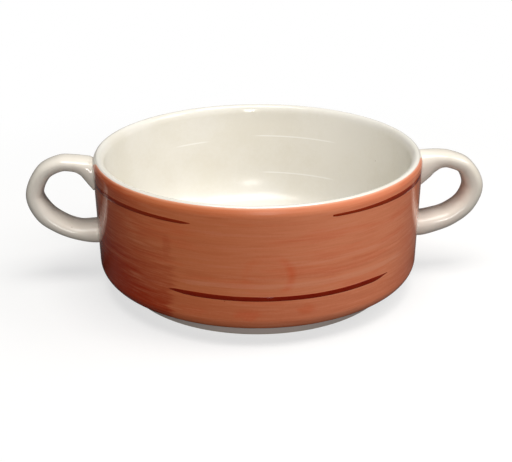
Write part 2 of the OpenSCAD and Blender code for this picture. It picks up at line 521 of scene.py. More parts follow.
class Surface(Book):
    """A material's node tree, with places on the bowl in millimetres."""

    def __init__(self, name: str) -> None:
        """Starts a material with its own coordinates.

        Args:
            name: The material's name.
        """
        self.material = bpy.data.materials.new(name)
        self.material.use_nodes = True
        super().__init__(self.material.node_tree)
        self.tree.nodes.clear()
        values = {0: self.socket("ShaderNodeTexCoord", None, "Object"), "Scale": 1 / MM}
        self.place = self.socket("ShaderNodeVectorMath", values, operation="SCALE")
        self.x, self.y, self.z = self.parts(self.place)

    def radius(self) -> Number:
        """Returns the distance from the bowl's axis."""
        return (self.x * self.x + self.y * self.y).power(0.5)

    def noise(self, grain: Grain, where: NodeSocket | None = None) -> Number:
        """Adds a noise, from 0 to 1, at the point that is shaded or at another one."""
        values = {"Scale": grain.scale, "Detail": grain.detail, "Roughness": grain.roughness}
        return self.number("ShaderNodeTexNoise", {"Vector": where or self.place, **values})

    def brushed(self, streaks: Streaks) -> Number:
        """Adds a noise, from 0 to 1, with its own scales round the bowl and up the wall."""
        where = self.vector(self.x * streaks.along, self.y * streaks.along, self.z * streaks.up)
        return self.noise(Grain(1.0, streaks.detail, streaks.roughness), where)

    def specks(self, scale: float, edge: Span, chosen: Span) -> Number:
        """Scatters small round specks.

        Args:
            scale: How many cells go into a millimetre.
            edge: A speck's radius, and that of its full part, as shares of a cell.
            chosen: Share of the cells that have a speck, and of those with a full one.

        Returns:
            A mask, 1 on a speck.
        """
        values = {"Vector": self.place, "Scale": scale}
        cells = self.node("ShaderNodeTexVoronoi", values, feature="F1").outputs
        pick = self.number("ShaderNodeSeparateColor", {0: cells["Color"]})
        return Number(self, cells["Distance"]).ramp(*edge) * pick.ramp(*chosen)

    def close(
        self, tint: NodeSocket, roughness: Number, ior: float, height: Number, relief: float
    ) -> Material:
        """Ends the tree in a Principled shader.

        Args:
            tint: The base colour.
            roughness: How matt the surface is, from 0 to 1.
            ior: The refractive index.
            height: How high the surface stands, from 0 to 1.
            relief: What a height of 1 stands for, in metres.

        Returns:
            The material.
        """
        bump = {"Strength": 1.0, "Distance": relief, "Height": height}
        values = {
            "Base Color": tint,
            "Roughness": roughness,
            "IOR": ior,
            "Normal": self.socket("ShaderNodeBump", bump),
        }
        self.node("ShaderNodeOutputMaterial", {0: self.socket("ShaderNodeBsdfPrincipled", values)})
        return self.material


@dataclass(frozen=True)
class WhiteGlaze:
    """Warm white glaze over white clay, bare and matt where the foot rests.

    A fade is where a mark starts to show and where it shows fully. The arcs, which are painted
    highlights, list a height and the azimuths of both ends, counted from the back towards the right.
    """

    name: str = "white_glaze"
    thin: Colour = colour(238, 235, 228)
    pooled: Colour = colour(233, 229, 219)
    ripple: float = 0.4
    clay: Colour = colour(214, 202, 182)
    grit: Colour = colour(190, 176, 154)
    foot: Colour = colour(212, 198, 192)
    speck: Colour = colour(128, 104, 80)
    # Colour of the painted highlight arcs on the inner wall
    arc_highlight: Colour = colour(250, 248, 244)
    ior: float = 1.5
    sheen: float = 0.05
    sheen_change: float = 0.05
    bare_roughness: float = 0.6
    matter: float = 0.165
    relief: float = 0.12 * MM
    peel: float = 0.012
    bare_grit: float = 0.4
    speck_strength: float = 0.4
    broad_grain: Grain = Grain(0.045)
    broad_share: float = 0.75
    fine_grain: Grain = Grain(0.6, detail=3.0, roughness=0.6)
    fine_share: float = 0.25
    clay_grain: Grain = Grain(6.0, detail=3.0)
    sheen_grain: Grain = Grain(0.3)
    ripple_grain: Grain = Grain(0.09)
    peel_grain: Grain = Grain(1.6)
    speck_scale: float = 0.16
    speck_edge: Span = (0.045, 0.0225)
    speck_chosen: Span = (0.2, 0.184)
    patch_fade: Span = (0.36, 0.66)
    grit_fade: Span = (0.35, 0.7)
    bare_fade: Span = (0.6, 0.25)
    foot_fade: Span = (5.0, 4.2)
    above_foot_fade: Span = (4.4, 5.4)
    depth_fade: Span = (32.0, 14.0)
    lip_height_fade: Span = (35.0, 41.0)
    lip_radius_fade: Span = (53.0, 52.4)
    lip_side_fade: Span = (38.0, 52.0)
    inside_fade: Span = (51.0, 50.6)
    # Where the painted highlight arcs fade, taper and lie
    arc_fade: Span = (0.36, 0.1)
    arc_taper: float = 6.0
    arcs: tuple[Triple, ...] = ((33.2, 0.0, 40.0), (18.6, 3.0, 40.0), (32.0, -36.0, -17.0))

    def painted_highlight_arcs(self, surface: Surface) -> Number:
        """Paints faint bright arcs round the inside: painted highlights on the inner wall.

        Args:
            surface: The material's node tree.

        Returns:
            A mask, 1 on an arc.
        """
        azimuth = surface.x.angle_from(surface.y)
        inside = surface.radius().ramp(*self.inside_fade)
        arcs: Number | float = 0.0
        for height, start, end in self.arcs:
            line = abs(surface.z - height).ramp(*self.arc_fade)
            begun = azimuth.ramp(start, start + self.arc_taper)
            arcs = line * begun * azimuth.ramp(end, end - self.arc_taper) + arcs
        return arcs * inside

    def tone(self, surface: Surface) -> NodeSocket:
        """Mixes the glaze's colour: thin and thick patches, painted highlight arcs and a few iron
        specks.

        Args:
            surface: The material's node tree.

        Returns:
            The colour.
        """
        broad, fine = surface.noise(self.broad_grain), surface.noise(self.fine_grain)
        patch = (broad * self.broad_share + fine * self.fine_share).ramp(*self.patch_fade)
        specks = surface.specks(self.speck_scale, self.speck_edge, self.speck_chosen)
        glaze = surface.blend(patch, self.thin, self.pooled)
        # Painted highlights: faint bright arcs on the inner wall
        glaze = surface.blend(self.painted_highlight_arcs(surface), glaze, self.arc_highlight)
        glaze = surface.blend(surface.z.ramp(*self.foot_fade), glaze, self.foot)
        return surface.blend(specks * self.speck_strength, glaze, self.speck)

    def make(self) -> Material:
        """Builds the material of the bowl's white parts.

        Returns:
            The material.
        """
        surface = Surface(self.name)
        bare = surface.z.ramp(*self.bare_fade)
        grit = surface.noise(self.clay_grain)
        clay = surface.blend(grit.ramp(*self.grit_fade), self.clay, self.grit)
        tint = surface.blend(bare, self.tone(surface), clay)
        side = abs(surface.x).ramp(*self.lip_side_fade)
        lip = surface.radius().ramp(*self.lip_radius_fade) * surface.z.ramp(*self.lip_height_fade)
        deep = surface.z.ramp(*self.above_foot_fade) * surface.z.ramp(*self.depth_fade)
        matter = (lip * side * side + deep) * self.matter
        sheen = surface.noise(self.sheen_grain) * self.sheen_change + bare * self.bare_roughness
        roughness = sheen + matter + self.sheen
        height = surface.noise(self.ripple_grain) * self.ripple
        height = height + surface.noise(self.peel_grain) * self.peel + grit * bare * self.bare_grit
        return surface.close(tint, roughness, self.ior, height, self.relief)


class Wall:
    """Where a point lies on the wall, and how far the marks there fray and wander.

    The azimuth runs from -90 degrees at the left handle to 90 at the right one, on the
    front and on the back alike, so that the colour has no seam.
    """

    front_fade: Span = (-4.0, 4.0)
    fraying: Streaks = Streaks(0.3, 0.7, detail=3.0)
    wandering: Streaks = Streaks(0.03, 0.05, detail=1.0)
    stray: float = 1.4

    def __init__(self, surface: Surface) -> None:
        """Works out the numbers once for all the marks.

        Args:
            surface: The material's node tree.
        """
        self.surface = surface
        self.azimuth = surface.x.angle_from(abs(surface.y))
        self.front = (-surface.y).ramp(*self.front_fade)
        self.frayed = surface.brushed(self.fraying).centred() * self.stray
        self.wander = surface.brushed(self.wandering).centred() * self.stray

    def away_from(self, centre: Point, size: Point) -> Number:
        """Measures how far a point lies from a centre, with 1 on an ellipse round it.

        Args:
            centre: The ellipse's azimuth and height.
            size: Its half sizes in degrees and in millimetres.

        Returns:
            The distance.
        """
        across = (self.azimuth - centre[0]) / size[0]
        up = (self.surface.z - centre[1]) / size[1]
        return (across * across + up * up).power(0.5)


@dataclass(frozen=True)
class Smudge:
    """A place on the front of the wall where the wash is thicker or redder."""

    azimuth: float
    height: float
    half_width: float
    half_height: float
    strength: float
    fade: Span = (1.2, 0.3)

    def mask(self, wall: Wall) -> Number:
        """Returns the smudge as a soft patch with a frayed edge."""
        away = wall.away_from((self.azimuth, self.height), (self.half_width, self.half_height))
        return (away + wall.frayed).ramp(*self.fade) * wall.front * self.strength


@dataclass(frozen=True)
class Pull:
    """A line that one bundle of the brush's hairs left round the wall."""

    height: float
    half_height: float
    start: float
    end: float
    strength: float
    core: float = 0.3
    coming: Span = (-2.0, 4.0)
    going: Span = (4.0, -6.0)

    def mask(self, wall: Wall) -> Number:
        """Draws the line, soft at its edges and at its ends.

        Args:
            wall: Where the point lies.

        Returns:
            The mask, as high as the line is strong.
        """
        away = abs(wall.surface.z + wall.wander - self.height)
        line = away.ramp(self.half_height, self.half_height * self.core)
        begun = wall.azimuth.ramp(*(self.start + step for step in self.coming))
        left = wall.azimuth.ramp(*(self.end + step for step in self.going))
        return line * begun * left * self.strength


def laid(ground: Number, marks: Sequence[Smudge | Pull], wall: Wall) -> Number:
    """Adds the masks of several marks to the number they lie on.

    Args:
        ground: The number without the marks.
        marks: The marks.
        wall: Where the point lies.

    Returns:
        The sum.
    """
    for mark in marks:
        ground = ground + mark.mask(wall)
    return ground


@dataclass(frozen=True)
class TerracottaWash:
    """Iron-red wash put on with a broad brush while the bowl turned.

    Depths, from 0 to 1, say how much of the thick colour a place takes.
    """

    name: str = "terracotta_wash"
    # Wash colour on the left and on the right: the paler right is partly a thinner wash and partly
    # painted light falling from the right
    left: Colour = colour(219, 123, 78)
    right: Colour = colour(236, 144, 105)
    glaze: Colour = colour(236, 231, 222)
    pale: Colour = colour(244, 176, 144)
    thick: Colour = colour(178, 56, 20)
    # Paler wash along the top edge: partly a thinner wash over the lip, partly painted light where
    # the lip turns up
    edge: Colour = colour(240, 172, 140)
    rosy: Colour = colour(230, 90, 46)
    thin_and_lit_side_fade: Span = (-30.0, 25.5)
    foot_fade: Span = (17.0, 13.0)
    foot_depth: Span = (0.02, 0.19)
    handle_fade: Span = (40.0, 62.0)
    handle_depth: float = 0.22
    broad_streaks: Streaks = Streaks(0.05, 0.9, roughness=0.6)
    fine_streaks: Streaks = Streaks(0.12, 2.2, detail=1.0, roughness=0.6)
    streak_share: float = 0.5
    colour_grain: Grain = Grain(1.4)
    grain_share: float = 0.1
    overlap: float = -31.3
    overlap_half_width: float = 2.2
    overlap_edge: Streaks = Streaks(0.08, 0.7)
    overlap_stray: float = 11.0
    overlap_height: Span = (38.0, 8.0)
    overlap_depth: float = 0.6
    overlap_side: Span = (-32.0, -64.0)
    overlap_side_depth: float = 0.5
    overlap_streaks: float = 0.7
    ring_centre: Point = (0.4, 23.4)
    ring_size: Point = (7.3, 6.2)
    ring_fade: Span = (0.32, 0.0)
    ring_right: Span = (2.0, 6.5)
    ring_left_share: float = 0.3
    ring_foot: Span = (17.6, 19.4)
    ring_strength: float = 0.34
    mottle: Streaks = Streaks(0.035, 0.28, detail=3.0, roughness=0.6)
    mottle_fade: Span = (0.48, 0.7)
    mottle_strength: float = 0.22
    dip_fade: Span = (70.0, 90.0)
    dip: float = 6.5
    # Where the paler top edge, partly painted light, fades in, and how strong it is
    thin_and_lit_edge_fade: Span = (43.9, 44.65)
    thin_and_lit_edge_strength: float = 0.8
    glaze_fade: Span = (44.7, 45.2)
    ior: float = 1.36
    sheen: float = 0.03
    sheen_grain: Grain = Grain(0.3)
    sheen_change: float = 0.04
    lip_fade: Span = (42.4, 43.4)
    lip_roughness: float = 0.32
    relief: float = 0.12 * MM
    ripple_grain: Grain = Grain(0.08)
    ripple: float = 0.7
    hair_streaks: Streaks = Streaks(0.05, 2.2)
    hairs: float = 0.05
    smudges: tuple[Smudge, ...] = (
        Smudge(-32.6, 30.8, 2.0, 4.2, 0.2),
        Smudge(-13.4, 15.3, 0.3, 0.25, 0.9),
    )
    blushes: tuple[Smudge, ...] = (
        Smudge(-6.0, 11.2, 5.2, 2.2, 0.34),
        Smudge(12.6, 12.0, 3.6, 1.9, 0.3),
        Smudge(-24.0, 11.0, 6.0, 1.6, 0.16),
    )
    dark_pulls: tuple[Pull, ...] = (
        Pull(22.3, 1.0, -80.0, -35.0, 0.2),
        Pull(19.0, 0.9, -80.0, -35.0, 0.18),
        Pull(26.2, 0.9, -50.0, -33.0, 0.1),
        Pull(33.3, 0.8, -40.0, 0.0, 0.09),
        Pull(30.5, 0.9, -30.0, 10.0, 0.06),
        Pull(23.3, 1.5, -28.0, 50.0, 0.09),
        Pull(25.6, 0.5, 14.0, 60.0, 0.06),
        Pull(41.6, 0.4, -32.0, -10.0, 0.14),
    )
    pale_pulls: tuple[Pull, ...] = (
        Pull(20.4, 1.2, -28.0, 54.0, 0.22),
        Pull(27.4, 1.1, 4.0, 54.0, 0.12),
        Pull(36.8, 0.8, -26.0, 30.0, 0.08),
        Pull(33.0, 1.3, 28.0, 60.0, 0.07),
        Pull(17.6, 0.6, -50.0, -33.0, 0.08),
        Pull(20.6, 0.6, -60.0, -33.0, 0.05),
        Pull(28.4, 1.0, -48.0, -33.0, 0.06),
    )

    def second_coat(self, wall: Wall, streak: Number) -> Number:
        """Lays the wash once more on the left, from a ragged edge.

        Args:
            wall: Where the point lies.
            streak: The marks of the brush's hairs.

        Returns:
            The depth it adds.
        """
        ragged = wall.surface.brushed(self.overlap_edge).centred()
        start = wall.azimuth + ragged * self.overlap_stray
        half = self.overlap_half_width
        behind = start.ramp(self.overlap + half, self.overlap - half)
        low = wall.surface.z.ramp(*self.overlap_height, 0.0, self.overlap_depth)
        far = wall.azimuth.ramp(*self.overlap_side) * self.overlap_side_depth
        return behind * (low + far + streak * self.overlap_streaks)

    def redness(self, wall: Wall) -> Number:
        """Finds where the wash is redder: a faint ring on the front, patches and blushes.

        Args:
            wall: Where the point lies.

        Returns:
            The share of the rosy colour.
        """
        away = abs(wall.away_from(self.ring_centre, self.ring_size) - 1.0)
        right = wall.azimuth.ramp(*self.ring_right, self.ring_left_share, 1.0)
        ring = away.ramp(*self.ring_fade) * right * wall.surface.z.ramp(*self.ring_foot)
        patches = wall.surface.brushed(self.mottle).ramp(*self.mottle_fade)
        mottle = patches * self.mottle_strength
        return laid(ring * wall.front * self.ring_strength + mottle, self.blushes, wall)

    def tone(self, surface: Surface) -> NodeSocket:
        """Mixes the wash's colour; its paler right side and paler top edge are partly a thinner wash
        and partly painted light.

        Args:
            surface: The material's node tree.

        Returns:
            The colour.
        """
        wall = Wall(surface)
        broad, fine = surface.brushed(self.broad_streaks), surface.brushed(self.fine_streaks)
        streak = ((broad + fine) / 2).centred()
        grain = surface.noise(self.colour_grain).centred()
        coat = self.second_coat(wall, streak) + streak * self.streak_share + grain * self.grain_share
        coat = coat + surface.z.ramp(*self.foot_fade, *self.foot_depth)
        coat = coat + wall.azimuth.ramp(*self.handle_fade) * self.handle_depth
        coat = laid(coat, (*self.smudges, *self.dark_pulls), wall)
        thin = laid(streak * -self.streak_share - grain * self.grain_share, self.pale_pulls, wall)
        dip = abs(wall.azimuth).ramp(*self.dip_fade)
        reach = surface.z + dip * dip * self.dip
        # Paler to the right: partly a thinner wash, partly painted light from the right
        base = surface.blend(surface.x.ramp(*self.thin_and_lit_side_fade), self.left, self.right)
        for share, tint in (
            (self.redness(wall), self.rosy),
            (coat, self.thick),
            (thin, self.pale),
            # Paler top edge: partly a thinner wash, partly painted light on the upturned lip
            (reach.ramp(*self.thin_and_lit_edge_fade) * self.thin_and_lit_edge_strength, self.edge),
            (reach.ramp(*self.glaze_fade), self.glaze),
        ):
            base = surface.blend(share, base, tint)
        return base

    def make(self) -> Material:
        """Builds the material of the wash.

        Returns:
            The material.
        """
        surface = Surface(self.name)
        hairs = surface.brushed(self.hair_streaks) * self.hairs
        height = surface.noise(self.ripple_grain) * self.ripple + hairs
        sheen = surface.noise(self.sheen_grain) * self.sheen_change + self.sheen
        roughness = sheen + surface.z.ramp(*self.lip_fade) * self.lip_roughness
        return surface.close(self.tone(surface), roughness, self.ior, height, self.relief)


@dataclass(frozen=True)
class DarkStroke:
    """Dark iron brown laid on with one pull of a loaded brush."""

    name: str = "dark_stroke"
    full: Colour = colour(130, 24, 6)
    thin: Colour = colour(158, 54, 18)
    hair_streaks: Streaks = Streaks(0.08, 3.0)
    hairs_share: float = 0.6
    pooled_grain: Grain = Grain(0.35)
    pooled_share: float = 0.4
    thin_fade: Span = (0.36, 0.7)
    thin_share: float = 0.4
    lip_fade: Span = (28.0, 36.0)
    lip_share: float = 0.45
    sheen: float = 0.06
    ior: float = 1.27
    relief: float = 0.05 * MM
    hairs_height: float = 0.3
    pooled_height: float = 0.5

    def make(self) -> Material:
        """Builds the material of the brush strokes.

        Returns:
            The material.
        """
        surface = Surface(self.name)
        hairs = surface.brushed(self.hair_streaks)
        pooled = surface.noise(self.pooled_grain)
        shade = hairs * self.hairs_share + pooled * self.pooled_share
        shade = shade.ramp(*self.thin_fade, 0.0, self.thin_share)
        shade = shade + surface.z.ramp(*self.lip_fade) * self.lip_share
        tint = surface.blend(shade, self.full, self.thin)
        roughness = pooled * self.sheen + self.sheen
        height = hairs * self.hairs_height + pooled * self.pooled_height
        return surface.close(tint, roughness, self.ior, height, self.relief)


@dataclass(frozen=True)
class Finishes:
    """The materials that the pieces share."""

    glaze: Material
    handle: Material
    wash: Material
    stroke: Material


# Pieces


@dataclass
class Bowl:
    """The turned bowl: foot ring, rounded base corner, straight wall and soft lip.

    The edges of the wash are angles round the corner's and the lip's roundings. Steps
    are the stretches that a part of the outline is cut into.
    """

    rim_radius: float = 54.0 * MM
    taper: float = 0.5 * MM
    height: float = 45.0 * MM
    wall: float = 3.7 * MM
    floor_top: float = 7.0 * MM
    hollow_width: float = 14.5 * MM
    hollow_height: float = 17.0 * MM
    hollow_fullness: float = 0.78
    corner_width: float = 5.6 * MM
    corner_height: float = 4.9 * MM
    corner_bottom: float = 4.5 * MM
    lip_width: float = 1.7 * MM
    lip_drop: float = 3.2 * MM
    lip_inner_drop: float = 3.0 * MM
    foot_radius: float = 45.4 * MM
    foot_width: float = 4.0 * MM
    foot_height: float = 4.3 * MM
    foot_recess: float = 2.8 * MM
    foot_edge: float = 0.5 * MM
    foot_root: float = 0.8 * MM
    wash_top: float = 62.0
    wash_bottom: float = -72.0
    coat: float = 0.2 * MM
    coat_overlap_share: float = 0.9
    steps_round: int = 320
    corner_steps: int = 18
    wall_steps: int = 40
    lip_steps: int = 16
    coat_edge_steps: int = 6
    bare_corner_steps: int = 6
    bare_lip_steps: int = 10
    inner_lip_steps: int = 20
    hollow_steps: int = 40
    edge_steps: int = 8
    tread_steps: int = 6
    flat_steps: int = 14

    @property
    def corner_centre(self) -> Point:
        """Middle of the base corner's rounding."""
        radius = self.rim_radius - self.taper - self.corner_width
        return (radius, self.corner_bottom + self.corner_height)

    @property
    def lip_centre(self) -> Point:
        """Middle of the lip's outer rounding."""
        return (self.rim_radius - self.lip_width, self.height - self.lip_drop)

    def corner_arc(self, start: float, end: float, steps: int) -> list[Point]:
        """Lists the points of the base corner's rounding between two angles."""
        return arc(self.corner_centre, (self.corner_width, self.corner_height), start, end, steps)

    def lip_arc(self, start: float, end: float, steps: int) -> list[Point]:
        """Lists the points of the lip's outer rounding between two angles."""
        return arc(self.lip_centre, (self.lip_width, self.lip_drop), start, end, steps)

    def wall_radius(self, height: float) -> float:
        """Finds the outer radius of the bowl at a height on the wall or corner.

        Args:
            height: The height.

        Returns:
            The radius.
        """
        centre = self.corner_centre
        if height < centre[1]:
            drop = (centre[1] - height) / self.corner_height
            return centre[0] + self.corner_width * math.sqrt(max(0.0, 1 - drop * drop))
        share = (height - centre[1]) / (self.lip_centre[1] - centre[1])
        if share > 1:
            rise = min(1.0, (height - self.lip_centre[1]) / self.lip_drop)
            return self.rim_radius - self.lip_width * (1 - math.sqrt(1 - rise * rise))
        return self.rim_radius - self.taper * (1 - share)

    def washed_face(self, depth: float) -> list[Point]:
        """Lists the outer face between the wash's two edges.

        Args:
            depth: How far the face is drawn in halfway; it comes back at both edges.

        Returns:
            The points, from the lower edge to the upper one.
        """
        low = self.corner_arc(self.wash_bottom, 0, self.corner_steps)
        high = self.lip_arc(0, self.wash_top, self.lip_steps)
        face = low + straight(low[-1], high[0], self.wall_steps) + high
        turns = [mix(self.wash_bottom, 0, i / self.corner_steps) for i in range(len(low))]
        turns += [0.0] * (self.wall_steps - 1)
        turns += [mix(0, self.wash_top, i / self.lip_steps) for i in range(len(high))]
        drawn = []
        for i, ((radius, height), turn) in enumerate(zip(face, turns)):
            from_edge = min(i, len(face) - 1 - i) / self.coat_edge_steps
            inset = depth * eased(from_edge)
            turn = math.radians(turn)
            drawn.append((radius - inset * math.cos(turn), height - inset * math.sin(turn)))
        return drawn

    def foot(self) -> list[Point]:
        """Lists the foot ring's outline, from the recess to the underside of the corner.

        Returns:
            The points.
        """
        inner = self.foot_radius - self.foot_width
        root, edge, steps = self.foot_root, self.foot_edge, self.edge_steps
        tread = (self.foot_radius - edge, edge)
        made = arc((inner - root, self.foot_recess - root), (root, root), 90, 0, steps)
        made += arc((inner + edge, edge), (edge, edge), 180, 270, steps)
        made += straight(made[-1], (tread[0], 0.0), self.tread_steps)
        made += arc(tread, (edge, edge), -90, 0, steps)
        top = (self.foot_radius + root, self.foot_height - root)
        return made + arc(top, (root, root), 180, 90, steps)

    def outline(self) -> list[Point]:
        """Lists the whole outline, from the middle of the underside to the floor's.

        Returns:
            The points.
        """
        foot = self.foot()
        corner = self.corner_arc(-90, self.wash_bottom, self.bare_corner_steps)
        top = self.lip_arc(self.wash_top, 90, self.bare_lip_steps)
        inner_lip = (self.rim_radius - self.lip_width, self.height - self.lip_inner_drop)
        size = (self.wall - self.lip_width, self.lip_inner_drop)
        soft = arc(inner_lip, size, 90, 180, self.inner_lip_steps)
        size = (self.hollow_width, self.hollow_height)
        bend = (self.rim_radius - self.wall - size[0], self.floor_top + size[1])
        hollow = arc(bend, size, 0, -90, self.hollow_steps, self.hollow_fullness)
        start, end = (0.0, self.foot_recess), (0.0, self.floor_top)
        return [
            start,
            *straight(start, foot[0], self.flat_steps),
            *foot,
            *corner[:-1],
            *self.washed_face(self.coat)[:-1],
            *top,
            *soft[1:],
            *straight(soft[-1], hollow[0], self.flat_steps),
            *hollow,
            *straight(hollow[-1], end, self.flat_steps),
            end,
        ]

    def build(self, wheel: NodeTree, finishes: Finishes) -> list[Object]:
        """Turns the body and the wash band on the wheel.

        Args:
            wheel: The group that turns an outline.
            finishes: The materials.

        Returns:
            The two pieces.
        """
        under_wash = self.washed_face(self.coat * self.coat_overlap_share)
        band = self.washed_face(0.0) + under_wash[::-1]
        pieces = []
        for name, outline, finish, node, slot in (
            ("glazed_bowl", self.outline(), finishes.glaze, "bowl_body", "glazed_body"),
            ("brushed_wash", band, finishes.wash, "wash_band", "terracotta_wash"),
        ):
            rings = [(radius, 0.0, height) for radius, height in outline]
            piece = skinned(name, wheel, rings, self.steps_round, finish)
            pieces.append(seated(piece, node))
        return pieces


class Ring(NamedTuple):
    """One oval of a handle: where it is, which way the handle runs there, and its size."""

    out: float
    up: float
    facing_out: float
    facing_up: float
    thickness: float
    width: float


@dataclass
class SlipJoint:
    """The fillet of slip between the wall and one end of a handle.

    Its section is a hollow curve, drawn as how far it has grown away from the handle
    and how far it is lifted off the wall.
    """

    name: str
    side: Side
    bowl: Bowl
    end: Ring
    spread: float = 0.55 * MM
    climb: float = 0.75 * MM
    sunk: float = 0.6 * MM
    tucked: float = 0.25 * MM
    proud: float = 0.02 * MM
    top_share: float = 1.02
    sides: int = 72
    steps: int = 8

    def point(self, turn: float, grown: float, lift: float) -> Place:
        """Places one point of the fillet.

        Args:
            turn: The angle round the handle's end, in radians.
            grown: How far the point lies outside the end's oval.
            lift: How far it lies off the wall.

        Returns:
            The place.
        """
        up = self.end.up + (self.end.thickness / 2 + grown) * math.cos(turn)
        across = (self.end.width / 2 + grown) * math.sin(turn)
        radius = self.bowl.wall_radius(up)
        out = math.sqrt(radius * radius - across * across) + lift
        return (self.side.value * out, across, up)

    def section(self) -> list[Point]:
        """Lists the fillet's section, from inside the handle round to inside the wall.

        Returns:
            Pairs of growth and lift.
        """
        rows = [(-self.tucked, self.climb * self.top_share)]
        for i in range(self.steps + 1):
            turn = math.radians(90 * i / self.steps)
            lift = self.climb * (1 - math.sin(turn)) + self.proud
            rows.append((self.spread * (1 - math.cos(turn)), lift))
        return [*rows, (self.spread, -self.sunk), (-self.tucked, -self.sunk)]

    def build(self, finish: Material) -> Object:
        """Runs the section round the handle's end.

        Args:
            finish: The material.

        Returns:
            The piece.
        """
        turns = [math.tau * k / self.sides for k in range(self.sides)]
        loops = [[self.point(turn, *row) for turn in turns] for row in self.section()]
        piece = lofted(f"{self.name}_slip", loops, finish, endless=True)
        return seated(piece, f"{self.name}_slip_joint")


@dataclass
class LoopHandle:
    """A handle: a flattened loop, flared towards the wall at its upper end.

    The course lists distance from the axis, height and thickness in millimetres, from
    the upper end to the lower one. The widths, in millimetres too, go with its stations.
    """

    side: Side
    bowl: Bowl
    course: Sequence[Triple]
    widths: tuple[float, ...] = (10.6, 10.1, 9.6, 9.2, 9.2, 9.3, 9.9, 11.2, 12.0, 12.2, 12.8)
    buried: float = 2.0 * MM
    level_stretches: int = 4
    rings_per_stretch: int = 12
    sides: int = 56

    @staticmethod
    def passing(p: Sequence[float], u: float) -> Point:
        """Follows the smooth curve that passes through the middle two of four values.

        Args:
            p: The four values.
            u: The share of the way from the second value to the third.

        Returns:
            The curve's value and its slope.
        """
        bend = 2 * p[0] - 5 * p[1] + 4 * p[2] - p[3]
        twist = 3 * p[1] - p[0] - 3 * p[2] + p[3]
        value = 0.5 * (2 * p[1] + (p[2] - p[0]) * u + bend * u * u + twist * u**3)
        return value, (p[2] - p[0]) + 2 * bend * u + 3 * twist * u * u

    def ring(self, near: Sequence[Sequence[float]], share: float, from_upper: float) -> Ring:
        """Makes one ring, which turns level towards either end of the handle.

        Args:
            near: The stations before and after it, two each way.
            share: The share of the way between the middle two.
            from_upper: How many stretches lie between it and the upper end.

        Returns:
            The ring.
        """
        from_lower = len(self.course) - 1 - from_upper
        (out, slope_out), (up, slope_up), (thickness, _), (width, _) = (
            self.passing(values, share) for values in zip(*near)
        )
        length = math.hypot(slope_out, slope_up)
        level = 1.0 if from_upper < from_lower else -1.0
        free = min(1.0, from_upper / self.level_stretches, from_lower)
        facing = (mix(level, slope_out / length, free), mix(0.0, slope_up / length, free))
        length = math.hypot(*facing)
        return Ring(out, up, facing[0] / length, facing[1] / length, thickness, width)

    def rings(self) -> list[Ring]:
        """Lists the rings along the loop, from the upper end to the lower one.

        Returns:
            The rings.
        """
        given = [
            tuple(size * MM for size in (*station, width))
            for station, width in zip(self.course, self.widths)
        ]
        before = tuple(2 * a - b for a, b in zip(given[0], given[1]))
        after = (2 * given[-1][0] - given[-2][0], *given[-2][1:])
        stations = [before, *given, after]
        shares = [j / self.rings_per_stretch for j in range(self.rings_per_stretch)]
        made = [
            self.ring(stations[i : i + 4], share, i + share)
            for i in range(len(given) - 1)
            for share in shares
        ]
        return [*made, self.ring(stations[-4:], 1.0, len(given) - 1)]

    def build(self, loop: NodeTree, finishes: Finishes) -> list[Object]:
        """Pulls the handle and lutes it on.

        Args:
            loop: The group that sweeps an oval along a path.
            finishes: The materials.

        Returns:
            The handle and its two slip joints.
        """
        word, way = self.side.name.lower(), self.side.value
        rings = self.rings()
        upper, lower = rings[0], rings[-1]
        inside = [end._replace(out=self.bowl.rim_radius - self.buried) for end in (upper, lower)]
        closed = [end._replace(thickness=0.0, width=0.0) for end in inside]
        whole = [closed[0], inside[0], *rings, inside[1], closed[1]]
        handle = skinned(
            f"{word}_loop",
            loop,
            [(way * ring.out, 0.0, ring.up) for ring in whole],
            self.sides,
            finishes.handle,
            facing=[(way * ring.facing_out, 0.0, ring.facing_up) for ring in whole],
            half_thickness=[(ring.thickness / 2,) for ring in whole],
            half_width=[(ring.width / 2,) for ring in whole],
        )
        pieces = [seated(handle, f"{word}_handle")]
        for place, end in (("upper", upper), ("lower", lower)):
            joint = SlipJoint(f"{word}_{place}", self.side, self.bowl, end)
            pieces.append(joint.build(finishes.handle))
        return pieces


@dataclass
class BrushStroke:
    """A stroke of dark colour on the wall, as wide as the brush was pressed.

    The course lists azimuth from the front in degrees, height and width in
    millimetres, from one tip to the other.
    """

    name: str
    node: str
    bowl: Bowl
    course: Sequence[Triple]
    proud: float = 0.015 * MM
    sunk: float = 0.12 * MM
    step: float = 0.75
    rows: int = 6

    def at(self, azimuth: float) -> Point:
        """Finds the stroke's height and width at an azimuth.

        Args:
            azimuth: The azimuth in degrees.

        Returns:
            The height and the width.
        """
        for (a0, z0, w0), (a1, z1, w1) in zip(self.course, self.course[1:]):
            if azimuth <= a1:
                share = (azimuth - a0) / (a1 - a0)
                return mix(z0, z1, share) * MM, mix(w0, w1, share) * MM
        return self.course[-1][1] * MM, self.course[-1][2] * MM

    def section(self, azimuth: float) -> list[Place]:
        """Lists the points round the stroke's section, up the wall and down inside it.

        Args:
            azimuth: Where the section is, in degrees.

        Returns:
            The places.
        """
        height, width = self.at(azimuth)
        turn = math.radians(azimuth)
        ups = [height + width * (j / self.rows - 0.5) for j in range(self.rows + 1)]
        points = [(self.bowl.wall_radius(up) + self.proud, up) for up in ups]
        points += [(self.bowl.wall_radius(up) - self.sunk, up) for up in reversed(ups)]
        return [(radius * math.sin(turn), -radius * math.cos(turn), up) for radius, up in points]

    def build(self, finishes: Finishes) -> Object:
        """Lays the stroke on the wall as a thin closed skin.

        Args:
            finishes: The materials.

        Returns:
            The piece.
        """
        start, end = self.course[0][0], self.course[-1][0]
        count = math.ceil((end - start) / self.step)
        sections = [self.section(mix(start, end, i / count)) for i in range(count + 1)]
        piece = lofted(self.name, sections, finishes.stroke)
        return seated(piece, self.node)


